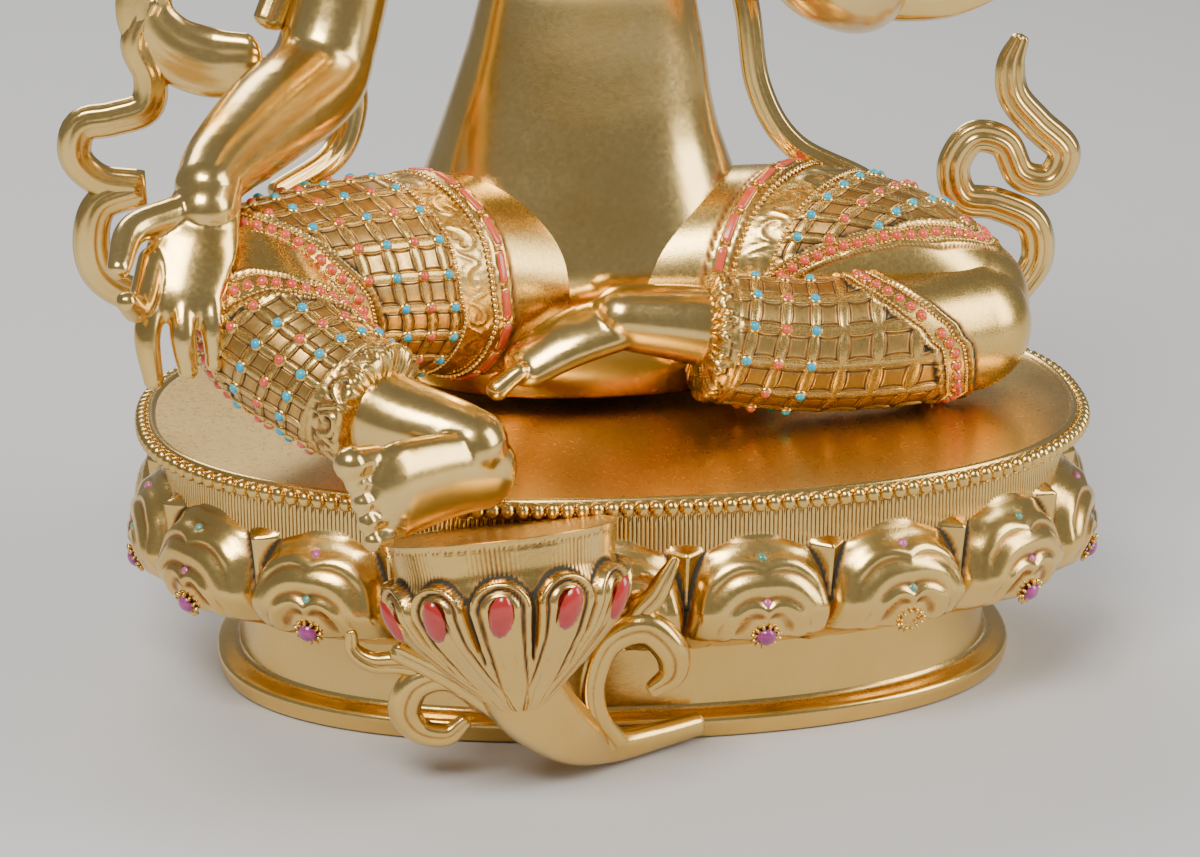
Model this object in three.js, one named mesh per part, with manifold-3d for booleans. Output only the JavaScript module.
// A gilt copper figure of Green Tara, seated with one leg down on an oval lotus base.
// Millimetres, +Z up, +X to the viewer's right, -Y to the viewer.
// The origin is the middle of the flat underside.
// Left and right in the names are the figure's own, so her right hand is on the viewer's left.
import * as THREE from "three";
import { ParametricGeometry } from "three/addons/geometries/ParametricGeometry.js";
import { mergeVertices } from "three/addons/utils/BufferGeometryUtils.js";
import Module from "manifold-3d";

const wasm = await Module();
wasm.setup();

// Driving sizes of the lotus base
const BASE_HALF_WIDTH = 107.5; // to the middle of the ring of beads
const BASE_HALF_DEPTH = 72.5;
const BASE_SQUARENESS = 2.36; // exponent of the oval: 2 is an ellipse
const BASE_DEPTH_SHARE = 0.85; // how far the depth grows for each millimetre of half width
const PLATE_HEIGHT = 61;
const PETALS = 18;
const PETAL_COLUMNS = 4; // columns of faces across one petal
const FIRST_PETAL = 24.8; // along the rim from the front middle to the middle of a petal
const GEM_RADIUS = 2.5;

// Driving sizes of the lotus under the right foot
const PAD_CENTRE = [-33, -86, 59.8];
const PAD_RADIUS = 24.5;
const PAD_RISE_TO_RIGHT = 0.087; // slope of its top
const PAD_RISE_TO_FRONT = 0.268;
const PAD_PETALS = 11; // five show, the rest are against the base
const PAD_CORALS = 5;

// Driving sizes of the figure
const BODY_X = -4; // the figure sits a little left of the middle of the base
const GAP = 0.3; // between pieces that touch
const SEAT = PLATE_HEIGHT + GAP;
const CROWN_LEAVES = 5;

const vec = (x, y, z) => new THREE.Vector3(x, y, z);
const FULL_TURN = 2 * Math.PI;

// Turns a closed geometry into a solid whose faces point out. Faces that collapse at a pole are dropped.
function solid(geometry) {
  geometry.deleteAttribute("normal");
  geometry.deleteAttribute("uv");
  const merged = mergeVertices(geometry, 1e-3);
  const index = merged.index.array;
  const faces = [];
  for (let i = 0; i < index.length; i += 3) {
    const [a, b, c] = [index[i], index[i + 1], index[i + 2]];
    if (a !== b && b !== c && c !== a) faces.push([a, b, c]);
  }
  const build = (list) =>
    new wasm.Manifold(
      new wasm.Mesh({
        numProp: 3,
        vertProperties: merged.attributes.position.array,
        triVerts: new Uint32Array(list.flat()),
      }),
    );
  const made = build(faces);
  return made.volume() > 0 ? made : build(faces.map(([a, b, c]) => [a, c, b]));
}

const join = (pieces) => pieces.reduce((whole, piece) => whole.add(piece));

// A closed skin over rings, where ring(i)(turn) is a point of ring i at a share of the full turn.
function skin(count, sides, ring) {
  const point = (u, v, target) => {
    const turn = (Math.round(u * sides) % sides) / sides;
    target.copy(ring(Math.round(v * (count - 1)), turn));
  };
  return solid(new ParametricGeometry(point, sides, count - 1));
}

// Signed power, for rounded squares: an exponent of 2 leaves a circle as it is.
const bulge = (value, exponent) => Math.sign(value) * Math.abs(value) ** (2 / exponent);

// A body of level rings, each given as [z, half width, half depth, middle y, middle x, dip of its front].
// It closes to a point at both ends.
function levels(rows, sides, exponent = 2.2) {
  const flatten = ([z, , , y, x]) => [z, 0, 0, y, x];
  const closed = [flatten(rows[0]), ...rows, flatten(rows[rows.length - 1])];
  return skin(closed.length, sides, (i, turn) => {
    const [z, wide, deep, y, x = BODY_X, dip = 0] = closed[i];
    const angle = turn * FULL_TURN;
    const front = Math.max(0, -Math.sin(angle));
    return vec(
      x + wide * bulge(Math.cos(angle), exponent),
      y + deep * bulge(Math.sin(angle), exponent),
      z - dip * front ** 3,
    );
  });
}

// Rings that round a limb off: the share of the end radius, and how far the ring lies beyond the end.
const ROUND_END = [
  [0, 1],
  [0.76, 0.62],
];

// Stations of the rings along a limb.
// A band worn round it, as [share of the way, width, lift], adds its edges.
function stations(steps, bands, length) {
  const edges = bands.flatMap(([t, width, lift]) => {
    const half = width / length / 2;
    return [
      [t - half, 0],
      [t, lift],
      [t + half, 0],
    ];
  });
  const inBand = (t) => bands.some(([at, width]) => Math.abs(t - at) < (0.8 * width) / length);
  const even = Array.from({ length: steps + 1 }, (_, i) => [i / steps, 0]).filter(([t]) => !inBand(t));
  return [...even, ...edges].sort((a, b) => a[0] - b[0]);
}

// A rounded limb along knots of [x, y, z, radius]. It is flat along the hint by a share of its width.
function limb(knots, options = {}) {
  const { sides = 10, steps = 6, flat = 1, hint = vec(0, 0, 1), grow = 0, blunt = 1, bands = [] } = options;
  const line = new THREE.CatmullRomCurve3(knots.map(([x, y, z]) => vec(x, y, z)), false, "centripetal");
  const thickness = new THREE.CatmullRomCurve3(knots.map(([, , , r], i) => vec(i, r, 0)));
  const rings = [];
  const add = (t, share, beyond, lift = 0) => {
    const along = line.getTangent(t);
    const radius = Math.max(thickness.getPoint(t).y, 0.2) + grow + lift;
    const centre = line.getPoint(t).addScaledVector(along, beyond * radius * blunt);
    const across = along.clone().cross(hint).normalize();
    const deep = across.clone().cross(along).multiplyScalar(radius * flat * share);
    rings.push({ centre, across: across.multiplyScalar(radius * share), deep });
  };
  ROUND_END.forEach(([share, beyond]) => add(0, share, -beyond));
  stations(steps, bands, line.getLength()).forEach(([t, lift]) => add(t, 1, 0, lift));
  [...ROUND_END].reverse().forEach(([share, beyond]) => add(1, share, beyond));
  return skin(rings.length, sides, (i, turn) => {
    const { centre, across, deep } = rings[i];
    const angle = turn * FULL_TURN;
    return centre.clone().addScaledVector(across, Math.cos(angle)).addScaledVector(deep, Math.sin(angle));
  });
}

// A ball, or an egg when its three radii differ. It is turned about X first, then about Z.
function ball([x, y, z], [rx, ry, rz], { sides = 10, rows = 6, turn = [0, 0, 0] } = {}) {
  const geometry = new THREE.SphereGeometry(1, sides, rows);
  geometry.scale(rx, ry, rz);
  geometry.applyMatrix4(new THREE.Matrix4().makeRotationFromEuler(new THREE.Euler(...turn, "ZYX")));
  geometry.translate(x, y, z);
  return solid(geometry);
}

// The oval of the base, as a table of how far along the rim each angle lies
const OVAL_STEPS = 2880;
const oval = (() => {
  const points = [];
  for (let i = 0; i <= OVAL_STEPS; i++) {
    const angle = (i / OVAL_STEPS) * FULL_TURN - Math.PI / 2;
    points.push(
      new THREE.Vector2(
        BASE_HALF_WIDTH * bulge(Math.cos(angle), BASE_SQUARENESS),
        BASE_HALF_DEPTH * bulge(Math.sin(angle), BASE_SQUARENESS),
      ),
    );
  }
  const reach = [0];
  for (let i = 1; i <= OVAL_STEPS; i++) reach.push(reach[i - 1] + points[i].distanceTo(points[i - 1]));
  return { points, reach, length: reach[OVAL_STEPS] };
})();

// The point of the base at a length along the rim from the front middle, moved out by some millimetres.
function onOval(length, out, z) {
  const wanted = ((length % oval.length) + oval.length) % oval.length;
  let low = 0;
  let high = OVAL_STEPS;
  while (high - low > 1) {
    const middle = (low + high) >> 1;
    if (oval.reach[middle] <= wanted) low = middle;
    else high = middle;
  }
  const share = (wanted - oval.reach[low]) / (oval.reach[high] - oval.reach[low]);
  const p = oval.points[low].clone().lerp(oval.points[high], share);
  return vec(
    p.x * (1 + out / BASE_HALF_WIDTH),
    p.y * (1 + (out * BASE_DEPTH_SHARE) / BASE_HALF_DEPTH),
    z,
  );
}

// Rows of the base from the underside up:
// height, outward reach between petals, further reach on a petal, petal width share
const BASE_ROWS = [
  [0, -BASE_HALF_WIDTH, 0, 0],
  [0, -16.4, 0, 0],
  [4.6, -15.6, 0, 0],
  [6.4, -20.8, 0, 0],
  [20, -21, 0, 0],
  [24.5, -14, 6, 0.86],
  [28, -7.5, 9, 0.98],
  [34, -3.6, 7.6, 1],
  [42, -4.6, 6.4, 0.88],
  [50, -5.4, 3, 0.5],
  [56.6, -4.6, 0, 0],
  [57.2, 1.2, 0, 0],
  [PLATE_HEIGHT, 0.6, 0, 0],
  [PLATE_HEIGHT, -BASE_HALF_WIDTH, 0, 0],
];
const GEM_HEIGHT = 29.5; // of the big cabochon low on each petal
const PETAL_PITCH = oval.length / PETALS;

// How far a petal stands out at a length along the rim, from 1 at its middle to 0 at the valley beside it
function petalLift(length, widthShare) {
  if (widthShare === 0) return 0;
  const phase = (((length - FIRST_PETAL) / PETAL_PITCH) % 1 + 1.5) % 1 - 0.5;
  const across = Math.min(Math.abs(phase) / (0.5 * widthShare), 1);
  return Math.sqrt(1 - across ** 2.4);
}

function lotusBase(grow = 0) {
  const columns = PETALS * PETAL_COLUMNS;
  return skin(BASE_ROWS.length, columns, (i, turn) => {
    const [z, valley, lift, widthShare] = BASE_ROWS[i];
    const length = turn * oval.length + FIRST_PETAL;
    const atCentre = valley === -BASE_HALF_WIDTH;
    const out = atCentre ? valley : valley + lift * petalLift(length, widthShare) + grow;
    return atCentre ? vec(0, 0, z) : onOval(length, out, z);
  });
}

// The frame of the foot lotus: its axis points up out of the pad, and out points to the viewer.
const padUp = vec(-PAD_RISE_TO_RIGHT, PAD_RISE_TO_FRONT, 1).normalize();
const padRight = vec(1, 0, PAD_RISE_TO_RIGHT).normalize();
const padBack = padUp.clone().cross(padRight).normalize();
const onPad = (angle, radius, down) =>
  vec(...PAD_CENTRE)
    .addScaledVector(padRight, radius * Math.cos(angle))
    .addScaledVector(padBack, radius * Math.sin(angle))
    .addScaledVector(padUp, -down);

// Rows of the foot lotus from its flat top down: depth below the top, radius, petal lift
const PAD_ROWS = [
  [0, 0, 0],
  [0, PAD_RADIUS, 0],
  [7.5, PAD_RADIUS - 1.2, 0],
  [9.5, PAD_RADIUS - 0.8, 2],
  [15, PAD_RADIUS - 1.4, 2.6],
  [21, PAD_RADIUS - 5, 1.8],
  [29, PAD_RADIUS - 12.5, 0],
  [36, 4, 0],
  [36, 0, 0],
];
const PAD_FRONT = -Math.PI / 2 - 0.12; // the angle of the middle petal
const PAD_PETAL_COLUMNS = 3; // columns of faces across one petal

function footLotusBowl(grow) {
  return skin(PAD_ROWS.length, PAD_PETALS * PAD_PETAL_COLUMNS, (i, turn) => {
    const [down, radius, lift] = PAD_ROWS[i];
    const angle = PAD_FRONT + turn * FULL_TURN;
    const wave = 0.5 + 0.5 * Math.cos(PAD_PETALS * (angle - PAD_FRONT));
    return onPad(angle, radius && radius + lift * wave + grow, down);
  });
}

// The stem and leaf scrolls of the foot lotus, as knots of [x, y, z, radius]
const STEM = [
  [-31, -92, 32, 11],
  [-27, -88, 22, 10],
  [-18, -81, 11, 7.5],
  [-9, -73, 5, 4.8],
  [2, -66, 4, 3.6],
  [12, -60, 4, 3.2],
];
const LEFT_STALK = [
  [-55, -84, 33, 3],
  [-43, -84, 26, 3.2],
  [-30, -84, 17, 3.4],
  [-14, -78, 7, 3.2],
];
const LEFT_LEAF = [
  [-46, -82, 27, 2.6],
  [-54, -82, 29.5, 3],
  [-60, -81, 29.5, 2.6],
  [-64, -80, 32, 2],
  [-64.5, -80, 36, 1.3],
];
const LEFT_CURL = [
  [-36, -83, 20, 3],
  [-44, -83, 26, 3.4],
  [-51, -82, 24.5, 3.8],
  [-53.5, -81, 18.5, 3.8],
  [-50.5, -80, 13.2, 3.2],
  [-44.5, -80, 11.8, 2.8],
  [-40.5, -80, 14.8, 2],
];
const RIGHT_CURL = [
  [-8, -76, 7, 3.4],
  [-12, -79, 14, 3],
  [-13, -81, 23, 3],
  [-9.5, -81, 32, 3.4],
  [-2, -81, 35, 4],
  [3.6, -81, 30, 4],
  [4.2, -80, 24, 3.4],
  [0, -80, 20.5, 2.2],
];
const RIGHT_FLAME = [
  [-5, -80, 33, 3],
  [-3, -80, 38, 3],
  [0.5, -80, 42, 2.8],
  [2.6, -80, 46, 2.2],
  [4.6, -80, 50, 1.2],
];

// The whole foot lotus, clear of a slightly larger copy of the base
function footLotus(baseClear, grow = 0) {
  const scroll = (knots, steps) => limb(knots, { sides: 5, steps, flat: 0.7, hint: vec(0, 1, 0), grow });
  const whole = join([
    footLotusBowl(grow),
    scroll(STEM, 6),
    scroll(LEFT_STALK, 3),
    scroll(LEFT_LEAF, 5),
    scroll(LEFT_CURL, 7),
    scroll(RIGHT_CURL, 8),
    scroll(RIGHT_FLAME, 4),
  ]);
  return whole
    .subtract(baseClear)
    .subtract(baseClear.translate([0, 0, GAP]))
    .trimByPlane([0, 0, 1], 0);
}

// A coral inlay on a petal of the foot lotus, counted from the viewer's left
const CORAL_LEAN = 0.45; // its foot leans in towards the stem, in radians
const CORAL_HALF = [3.2, 1.2, 5];
const CORAL_REACH = PAD_RADIUS + 2.8; // from the axis of the pad
const CORAL_DOWN = 15; // below the top of the pad
function padCoral(i) {
  const angle = PAD_FRONT + (i - (PAD_CORALS - 1) / 2) * (FULL_TURN / PAD_PETALS);
  const middle = onPad(angle, CORAL_REACH, CORAL_DOWN);
  return ball([...middle], CORAL_HALF, { sides: 6, rows: 3, turn: [CORAL_LEAN, 0, angle + Math.PI / 2] });
}

// The cabochon low on a petal of the base
const GEM_REACH = 4; // of its middle, outside the rim's line
const GEM_LEAN = 0.38; // with the swell of the petal, in radians
const GEM_HALF = [GEM_RADIUS, GEM_RADIUS / 2, GEM_RADIUS];
const LOST_GEM = 1; // this petal's collar is empty
function petalGem(i) {
  const length = FIRST_PETAL + i * PETAL_PITCH;
  const at = onOval(length, GEM_REACH, GEM_HEIGHT);
  const beside = onOval(length + 1, GEM_REACH, GEM_HEIGHT);
  const turn = Math.atan2(beside.y - at.y, beside.x - at.x);
  return ball([...at], GEM_HALF, { sides: 6, rows: 3, turn: [GEM_LEAN, 0, turn] });
}

// Levels of the body from the seat to the neck:
// height, half width, half depth, middle y, middle x, front dip
const BODY = [
  [SEAT, 41, 27, 21, -5],
  [70, 44.5, 31, 21, -5],
  [92, 43, 30, 20, -5.5],
  [110, 36, 24.6, 18.5, -6],
  [121, 32, 22.4, 18, -6, 4],
  [123, 33.6, 24, 18, -6, 4],
  [127.5, 33.6, 24, 18, -6, 4],
  [129.5, 29.6, 20.5, 17.5, -5.5, 4],
  [140, 27.2, 18.6, 17, -4.5],
  [156, 23.6, 16.6, 16],
  [168, 26, 18, 15.6],
  [181, 31.5, 19.5, 15.4],
  [193, 36, 19.5, 16],
  [202, 37, 16, 17],
  [208, 28, 13.5, 17.5],
  [213, 13, 11.2, 17.5],
  [219, 10.6, 10.4, 17],
  [230, 10.2, 10.6, 16],
];
const BREAST = { radius: 13.6, apart: 32, y: 3, z: 178 };
const HEAD_LEVELS = [
  [223.5, 5, 7, 5.5],
  [228, 10.5, 12.5, 8.5],
  [236, 15.2, 17.5, 11.6],
  [246, 18, 20.4, 13.6],
  [262, 18.4, 21.4, 15],
  [274, 15, 17.6, 17],
  [281, 8, 9, 19],
];
const TOPKNOT_LEVELS = [
  [272, 9, 9, 22],
  [281, 12.4, 12.4, 22],
  [291, 12, 12, 22],
  [298, 6.4, 6.4, 22],
  [304, 8.4, 8.4, 22],
  [310, 5.2, 5.2, 22],
  [318, 4.4, 4.4, 22],
  [326, 1, 1, 22],
];
const CROWN_FOOT = 261;
const LEAF_HEIGHT = 36; // of the middle leaf of the crown
const LOW_RIM = 8; // height of the crown between the leaves and behind
const SIDE_LEAF_DROP = 2; // how much lower a leaf is for each column away from the middle
const LEAF_COLUMNS = 2; // columns of faces on one leaf

// The crown is a ring round the hair whose front rises in pointed leaves.
// Each row is [height above its foot, share of the leaf height, reach outward as a share of the ring].
const CROWN_RING = [20.6, 23.4, 15]; // half width, half depth, middle y
const CROWN_ROWS = [
  [0, 0, -1],
  [0, 0, 0],
  [0, 0.55, 0.08],
  [0, 1, 0.14],
  [0, 1, 0.06],
  [3, 0, -0.1],
  [3, 0, -1],
];

function crown() {
  const columns = 2 * LEAF_COLUMNS * CROWN_LEAVES;
  const [wide, deep, y] = CROWN_RING;
  return skin(CROWN_ROWS.length, columns, (i, turn) => {
    const [above, share, reach] = CROWN_ROWS[i];
    const column = Math.round(turn * columns);
    const fromFront = Math.min(column, columns - column);
    const onLeaf = fromFront % LEAF_COLUMNS === 0 && fromFront < (LEAF_COLUMNS * CROWN_LEAVES) / 2;
    const tall = onLeaf ? LEAF_HEIGHT - SIDE_LEAF_DROP * fromFront : LOW_RIM;
    const angle = turn * FULL_TURN;
    return vec(
      BODY_X + wide * (1 + reach) * Math.sin(angle),
      y - deep * (1 + reach) * Math.cos(angle),
      CROWN_FOOT + above + tall * share,
    );
  });
}

// An ear with its earring, beside the head, and the ridge of the nose
const EAR = { beside: 20, y: 13, z: 241, radii: [4, 5, 13] };
const NOSE = [
  [BODY_X, -4, 254, 1.4],
  [BODY_X, -8.6, 245.5, 2.4],
];

function head() {
  const ear = (side) => ball([BODY_X + side * EAR.beside, EAR.y, EAR.z], EAR.radii, { sides: 6, rows: 5 });
  return join([
    levels(HEAD_LEVELS, 12, 2.1),
    crown(),
    levels(TOPKNOT_LEVELS, 7, 2),
    limb(NOSE, { sides: 4, steps: 1 }),
    ear(-1),
    ear(1),
  ]);
}

// Arms as knots of [x, y, z, radius]
const RIGHT_ARM = [
  [-30, 18, 196.5, 13],
  [-48, 16, 189, 12.6],
  [-57, 11, 166, 11],
  [-63, 6, 146, 11],
  [-67, 1, 137, 11.5],
  [-78, -15, 132, 11],
  [-88, -34, 128, 8.6],
  [-92, -44, 125, 7],
];
const LEFT_ARM = [
  [22, 18, 196.5, 13],
  [41, 16, 189, 12.6],
  [51, 10, 170, 11],
  [56, 4, 157.5, 11],
  [53, -6, 157.5, 11],
  [43, -20, 163, 10],
  [34, -32, 171, 7.4],
  [30.5, -37, 175.5, 6.4],
];

// Palms and fingers as knots of [x, y, z, radius]: three straight fingers, the forefinger and the thumb
const STRAIGHT_FINGERS = 3;
const RIGHT_PALM = [
  [-92, -46, 122, 7.5],
  [-95, -52, 115, 9.6],
  [-97.5, -57, 107, 9],
];
const RIGHT_FINGERS = [
  [[-103, -58, 106, 3], [-105.5, -62, 98, 2.9], [-104.5, -63, 88, 2.2]],
  [[-97.5, -58, 106, 3], [-98, -62.5, 98, 2.9], [-97.2, -63, 90, 2.2]],
  [[-92, -57, 106, 2.8], [-91.6, -61, 99, 2.7], [-91.6, -61.5, 91, 2]],
  [[-104, -55, 112, 3.2], [-107, -66, 105, 2.9], [-109.5, -71.5, 108, 2.4]],
  [[-99, -50, 121, 3.6], [-108, -56, 119, 3.4], [-111, -65, 113.5, 2.6]],
];
const LEFT_PALM = [
  [30, -39, 177, 6.4],
  [28, -41.5, 184, 8.2],
  [27, -43, 190, 7.6],
];
const LEFT_FINGERS = [
  [[27.5, -43.5, 192, 2.8], [27.5, -45, 200, 2.6], [27.5, -44.5, 207.5, 1.9]],
  [[32, -43, 191, 2.6], [32.5, -44.5, 198, 2.4], [33, -43.5, 204, 1.8]],
  [[23, -43, 192, 2.8], [22, -44.5, 199.5, 2.6], [22, -44, 206.5, 1.9]],
  [[23, -42, 187, 3], [19, -48, 189.5, 2.6], [20, -51, 184.5, 2]],
  [[29, -41, 180, 3.2], [24, -48, 181, 2.8], [20, -51.5, 182.5, 2]],
];

// Legs and feet as knots of [x, y, z, radius]
const RIGHT_THIGH = [
  [-18, 14, 86, 24],
  [-40, -2, 92.5, 22.5],
  [-62, -20, 97.5, 20.5],
  [-82, -34, 100, 17.5],
];
const RIGHT_SHIN = [
  [-84, -38, 99.5, 17],
  [-76, -55, 92.5, 15.5],
  [-64, -68, 85.5, 13.5],
  [-58, -73, 83.5, 14],
];
const RIGHT_ANKLE = [
  [-66, -68, 86, 10],
  [-54, -77, 82, 9.4],
  [-44, -83, 80.5, 8.2],
  [-39, -86, 79, 7.8],
];
const RIGHT_FOOT = [
  [-36.5, -88, 73.5, 8],
  [-45, -93, 74.5, 9.4],
  [-55, -100, 74.5, 10.6],
];
const LEFT_THIGH = [
  [12, 14, 86, 24],
  [42, 9, 90, 22],
  [64, 5, 87.5, 20],
  [80, 2, 80.5, 16.5],
];
const LEFT_SHIN = [
  [80, -5, 77.6, 15.6],
  [60, -13, 77.4, 15.4],
  [40, -16, 77.4, 14.6],
  [22, -18, 80.5, 14],
];
const LEFT_ANKLE = [
  [30, -17, 80, 10],
  [14, -19, 84, 8.8],
  [0, -20, 86, 7.4],
];
const LEFT_FOOT = [
  [-1, -20, 85, 7.6],
  [-12, -22, 82, 7.6],
  [-21, -24, 77.5, 6.4],
];

// Toes fan across the end of a foot, from the big toe's base to the little toe's.
const TOES = 5;
const SHORTER_TOE = 0.35; // how much less the little toe reaches than the big one
function toes(big, little, reach, [bigRadius, secondRadius, littleRadius]) {
  return Array.from({ length: TOES }, (_, i) => {
    const share = i / (TOES - 1);
    const base = vec(...big).lerp(vec(...little), share);
    const radius = i ? THREE.MathUtils.lerp(secondRadius, littleRadius, share) : bigRadius;
    const tip = base.clone().add(vec(...reach).multiplyScalar(1 - SHORTER_TOE * share));
    return limb([[...base, radius], [...tip, radius]], { sides: 4, steps: 1 });
  });
}

function body() {
  const { radius, apart, y, z } = BREAST;
  const breast = (side) =>
    ball([BODY_X + (side * apart) / 2, y, z], [radius, radius, radius], { sides: 8, rows: 6 });
  return join([levels(BODY, 16), breast(-1), breast(1), head()]);
}

// Bands worn round the limbs, as [share of the way along, width, lift]
const ARM_BANDS = {
  right: [
    [0.33, 7, 1.8],
    [0.54, 12, 2.6],
    [0.93, 7, 2.4],
  ],
  left: [
    [0.28, 7, 1.8],
    [0.46, 12, 2.4],
    [0.9, 7, 2.4],
  ],
};
const ARM = { sides: 9, steps: 8 };
const LEG = { sides: 10, steps: 4 };
const HIP_BAND = [0.34, 9, 1.8];
const ANKLET = [0.62, 5, 1.6];

function arms() {
  const finger = (knots, i) => limb(knots, { sides: 5, steps: i < STRAIGHT_FINGERS ? 1 : 2 });
  const palm = { sides: 7, steps: 2, flat: 0.42 };
  return join([
    limb(RIGHT_ARM, { ...ARM, bands: ARM_BANDS.right }),
    limb(LEFT_ARM, { ...ARM, bands: ARM_BANDS.left }),
    limb(RIGHT_PALM, { ...palm, hint: vec(0, -1, 0.5) }),
    limb(LEFT_PALM, { ...palm, hint: vec(0, -1, 0.2) }),
    ...RIGHT_FINGERS.map(finger),
    ...LEFT_FINGERS.map(finger),
  ]);
}

function legs() {
  const ankle = { sides: 8, steps: 2, bands: [ANKLET] };
  return join([
    limb(RIGHT_THIGH, { ...LEG, bands: [HIP_BAND] }),
    limb(RIGHT_SHIN, LEG),
    limb(RIGHT_ANKLE, ankle),
    limb(RIGHT_FOOT, { sides: 8, steps: 2, flat: 0.5, hint: vec(0.5, -0.85, 0) }),
    ...toes([-60.5, -102, 82], [-58, -105.5, 66], [-4.5, -4, 0.4], [3.8, 2.7, 2.3]),
    limb(LEFT_THIGH, { ...LEG, bands: [HIP_BAND] }),
    limb(LEFT_SHIN, LEG),
    limb(LEFT_ANKLE, ankle),
    limb(LEFT_FOOT, { sides: 8, steps: 2, flat: 0.62, hint: vec(-0.2, -0.5, 0.85) }),
    ...toes([-24, -29, 77], [-25, -19, 74], [-5, -1.4, -3.6], [2.6, 2.1, 1.9]),
  ]);
}

// Cloth that is cast with the figure, as knots of [x, y, z, radius]
const RIGHT_STRAND = [
  [-60, 10, 140, 4.4],
  [-58.5, 10, 128, 3.8],
  [-63, 6, 118, 3.4],
  [-76, -6, 113, 3],
];
const LEFT_STRAND = [
  [27, 30, 172, 3.4],
  [33, 24, 148, 3],
  [36, 22, 128, 3],
  [44, 20, 114.5, 3],
  [60, 18, 106, 3],
  [72, 14, 98, 2.6],
];
const LEFT_TAIL = [
  [58, 6, 154, 6.4],
  [68, 6, 152, 6],
  [80, 8, 152.5, 5.4],
  [92, 12, 158, 4.8],
  [97, 16, 170, 4],
  [91, 18, 180, 3],
  [86, 17, 174, 2],
];
const RIGHT_LOCK = [
  [-42, 24, 204, 3.4],
  [-58, 20, 184, 3.6],
  [-70, 10, 164, 3.8],
  [-76.5, 5, 150, 3.6],
];
const LEFT_LOCK = [
  [34, 24, 204, 3.4],
  [50, 20, 186, 3.6],
  [63, 12, 170, 3.4],
];
const APRON_END = [
  [-4, 2, 72, 6],
  [-5, -16, 66.4, 7],
  [-7, -30, 63.6, 15],
  [-8.5, -38, 62.8, 9],
];
const RIGHT_HEM_CORNER = [
  [-66, -64, 86, 10],
  [-70, -69, 79, 6],
  [-73.5, -72, 75.5, 1.2],
];
const LEFT_HEM_CORNER = [
  [32, -17, 72, 9],
  [27, -15, 66, 6],
  [24, -12, 62.6, 0.8],
];

function cloth() {
  const strand = (knots, steps = 4) => limb(knots, { sides: 5, steps, flat: 0.6, hint: vec(0, 1, 0) });
  const corner = (knots) => limb(knots, { sides: 5, steps: 2, flat: 0.5 });
  return join([
    strand(RIGHT_STRAND),
    strand(LEFT_STRAND, 6),
    strand(LEFT_TAIL, 7),
    strand(RIGHT_LOCK),
    strand(LEFT_LOCK, 3),
    limb(APRON_END, { sides: 8, steps: 4, flat: 0.16, blunt: 0.5 }),
    corner(RIGHT_HEM_CORNER),
    corner(LEFT_HEM_CORNER),
  ]);
}

// The flower beside her left shoulder, whose stem she holds
const FLOWER_STEM = [
  [21, -50, 183, 1.7],
  [32, -44, 172, 1.7],
  [56, -26, 172, 1.7],
  [72, -8, 190, 1.9],
  [70, 0, 212, 2.2],
];
const BLOOM = [69, 2, 216];
const BLOOM_PETALS = 8;
const BLOOM_WAVE = 0.1; // how far a petal stands out, as a share of the radius
// Rows of the bloom: height above its place, radius
const BLOOM_ROWS = [
  [-3, 0],
  [-2, 4],
  [4, 11],
  [12, 14],
  [20, 11],
  [28, 0],
];

function flower() {
  const bloom = skin(BLOOM_ROWS.length, BLOOM_PETALS * 2, (i, turn) => {
    const [up, radius] = BLOOM_ROWS[i];
    const angle = turn * FULL_TURN;
    const reach = radius * (1 + BLOOM_WAVE * Math.cos(BLOOM_PETALS * angle));
    return vec(...BLOOM).add(vec(reach * Math.cos(angle), reach * Math.sin(angle), up));
  });
  return limb(FLOWER_STEM, { sides: 5, steps: 6 }).add(bloom);
}

function figure() {
  const whole = join([body(), arms(), legs(), cloth(), flower()]);
  return whole.trimByPlane([0, 0, 1], SEAT);
}

// The scarf scrolls beside the figure, as knots of [x, y, z, radius]
const RIGHT_SCARF_TAIL = [
  [-82, 6, 140, 7],
  [-90, 8, 140, 8],
  [-99, 8, 144, 7.4],
  [-104, 8, 152, 6.4],
  [-102, 8, 164, 5.6],
  [-95, 8, 173, 4.6],
  [-92, 8, 182, 3.6],
  [-97, 8, 188, 1.8],
];
const RIGHT_SCARF_SCROLL = [
  [-102, 8, 154, 3.2],
  [-106, 8, 145, 3.6],
  [-103.2, 8, 137, 3.8],
  [-104.5, 8, 130, 4],
  [-112, 8, 127.5, 4],
  [-119, 8, 126, 4],
  [-120.4, 8, 119, 3.8],
  [-115, 8, 113.4, 3.8],
  [-106, 8, 111.4, 4],
  [-115, 8, 108, 4],
  [-117.6, 8, 100, 4.2],
  [-116, 8, 92, 4.2],
  [-109.5, 8, 87, 4],
  [-102, 8, 88, 3.2],
];
const LEFT_SCARF_SCROLL = [
  [98, 24, 76, 3.6],
  [103, 25, 84, 4],
  [101.5, 25, 93, 4],
  [93, 25, 97.6, 4],
  [85, 25, 99.4, 4],
  [82.6, 25, 107, 4],
  [87, 25, 113.8, 4],
  [94.4, 25, 112.2, 3.8],
  [98.6, 25, 104.6, 3.8],
  [105.6, 25, 103.4, 4],
  [108.6, 25, 110, 4],
  [102, 25, 116.8, 4],
  [96.4, 25, 123.6, 3.8],
  [95.4, 25, 131, 3.4],
  [97.4, 25, 137, 2.2],
];
const SCROLL_STEPS = 22;
const TAIL_FLAT = 0.3; // thickness as a share of the width
const SCROLL_FLAT = 0.62;
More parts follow.
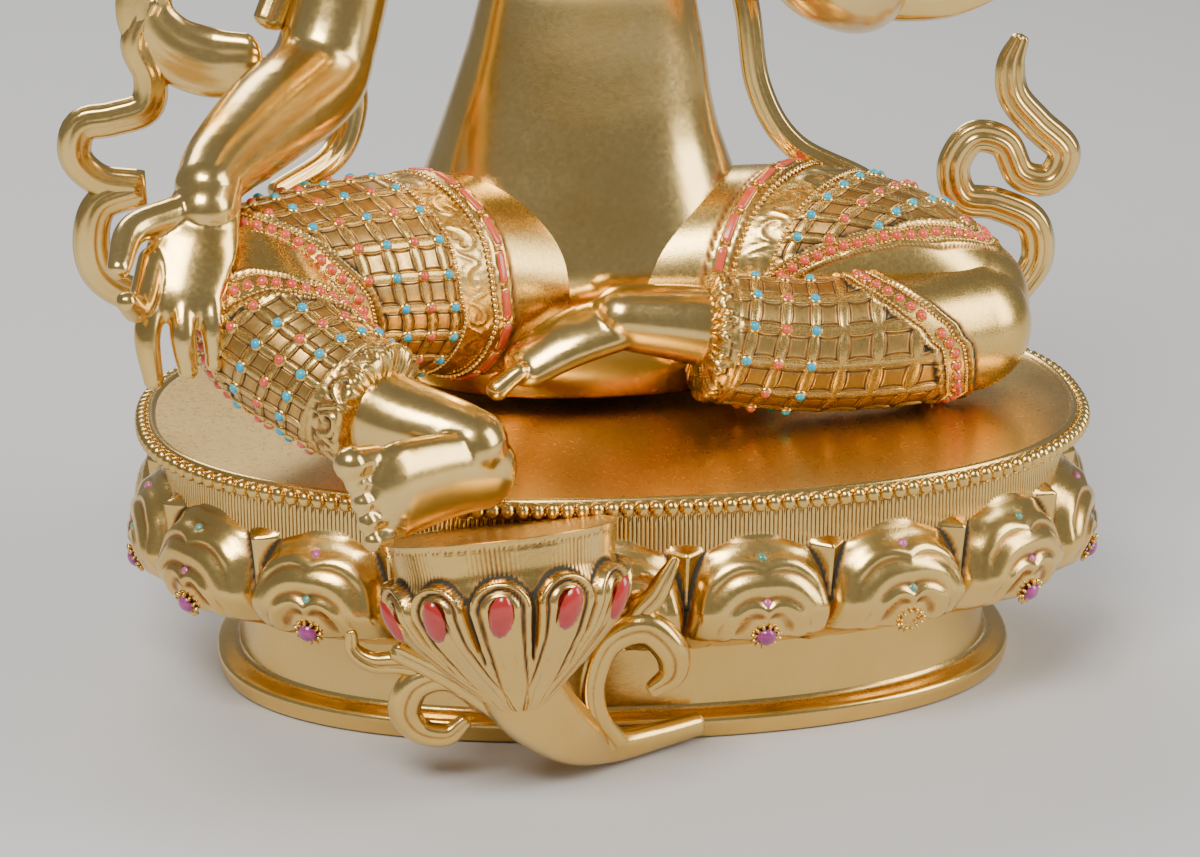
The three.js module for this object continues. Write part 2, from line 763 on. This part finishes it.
const ribbon = (knots, steps, flat) => limb(knots, { sides: 5, steps, flat, hint: vec(0, 1, 0) });

function rightScarf() {
  return ribbon(RIGHT_SCARF_TAIL, 9, TAIL_FLAT)
    .add(ribbon(RIGHT_SCARF_SCROLL, SCROLL_STEPS, SCROLL_FLAT))
    .subtract(limb(RIGHT_ARM, { ...ARM, bands: ARM_BANDS.right, grow: GAP }));
}

function leftScarf() {
  const clear = { ...LEG, grow: GAP };
  return ribbon(LEFT_SCARF_SCROLL, SCROLL_STEPS, SCROLL_FLAT)
    .subtract(limb(LEFT_THIGH, clear))
    .subtract(limb(LEFT_SHIN, clear));
}

// Gilt metal and the set stones
const gilt = { color: 0xc9963f, metalness: 1, roughness: 0.32 };
const coral = { color: 0xb8281c, metalness: 0, roughness: 0.3 };
const ruby = { color: 0x8a2a5c, metalness: 0, roughness: 0.15 };

// A mesh with a piece's name, from its solid. Slivers left by joining are merged into their neighbours.
const SLIVER = 0.1; // a vertex moves less than this
function named(name, made, material) {
  const { vertProperties, triVerts } = made.asOriginal().simplify(SLIVER).getMesh();
  const geometry = new THREE.BufferGeometry();
  geometry.setAttribute("position", new THREE.BufferAttribute(vertProperties, 3));
  geometry.setIndex(new THREE.BufferAttribute(triVerts, 1));
  geometry.computeVertexNormals();
  const mesh = new THREE.Mesh(geometry, new THREE.MeshStandardMaterial(material));
  mesh.name = name;
  return mesh;
}

const statue = new THREE.Group();
const base = lotusBase();
const baseClear = lotusBase(GAP);
const pad = footLotus(baseClear);
statue.add(named("lotus_base", base, gilt));
statue.add(named("foot_lotus", pad, gilt));
statue.add(named("figure", figure(), gilt));
statue.add(named("right_scarf", rightScarf(), gilt));
statue.add(named("left_scarf", leftScarf(), gilt));
for (let i = 0; i < PAD_CORALS; i++) statue.add(named(`foot_lotus_coral_${i + 1}`, padCoral(i), coral));
for (let i = 0; i < PETALS; i++) {
  if (i !== LOST_GEM) statue.add(named(`petal_gem_${i + 1}`, petalGem(i), ruby));
}

export default statue;
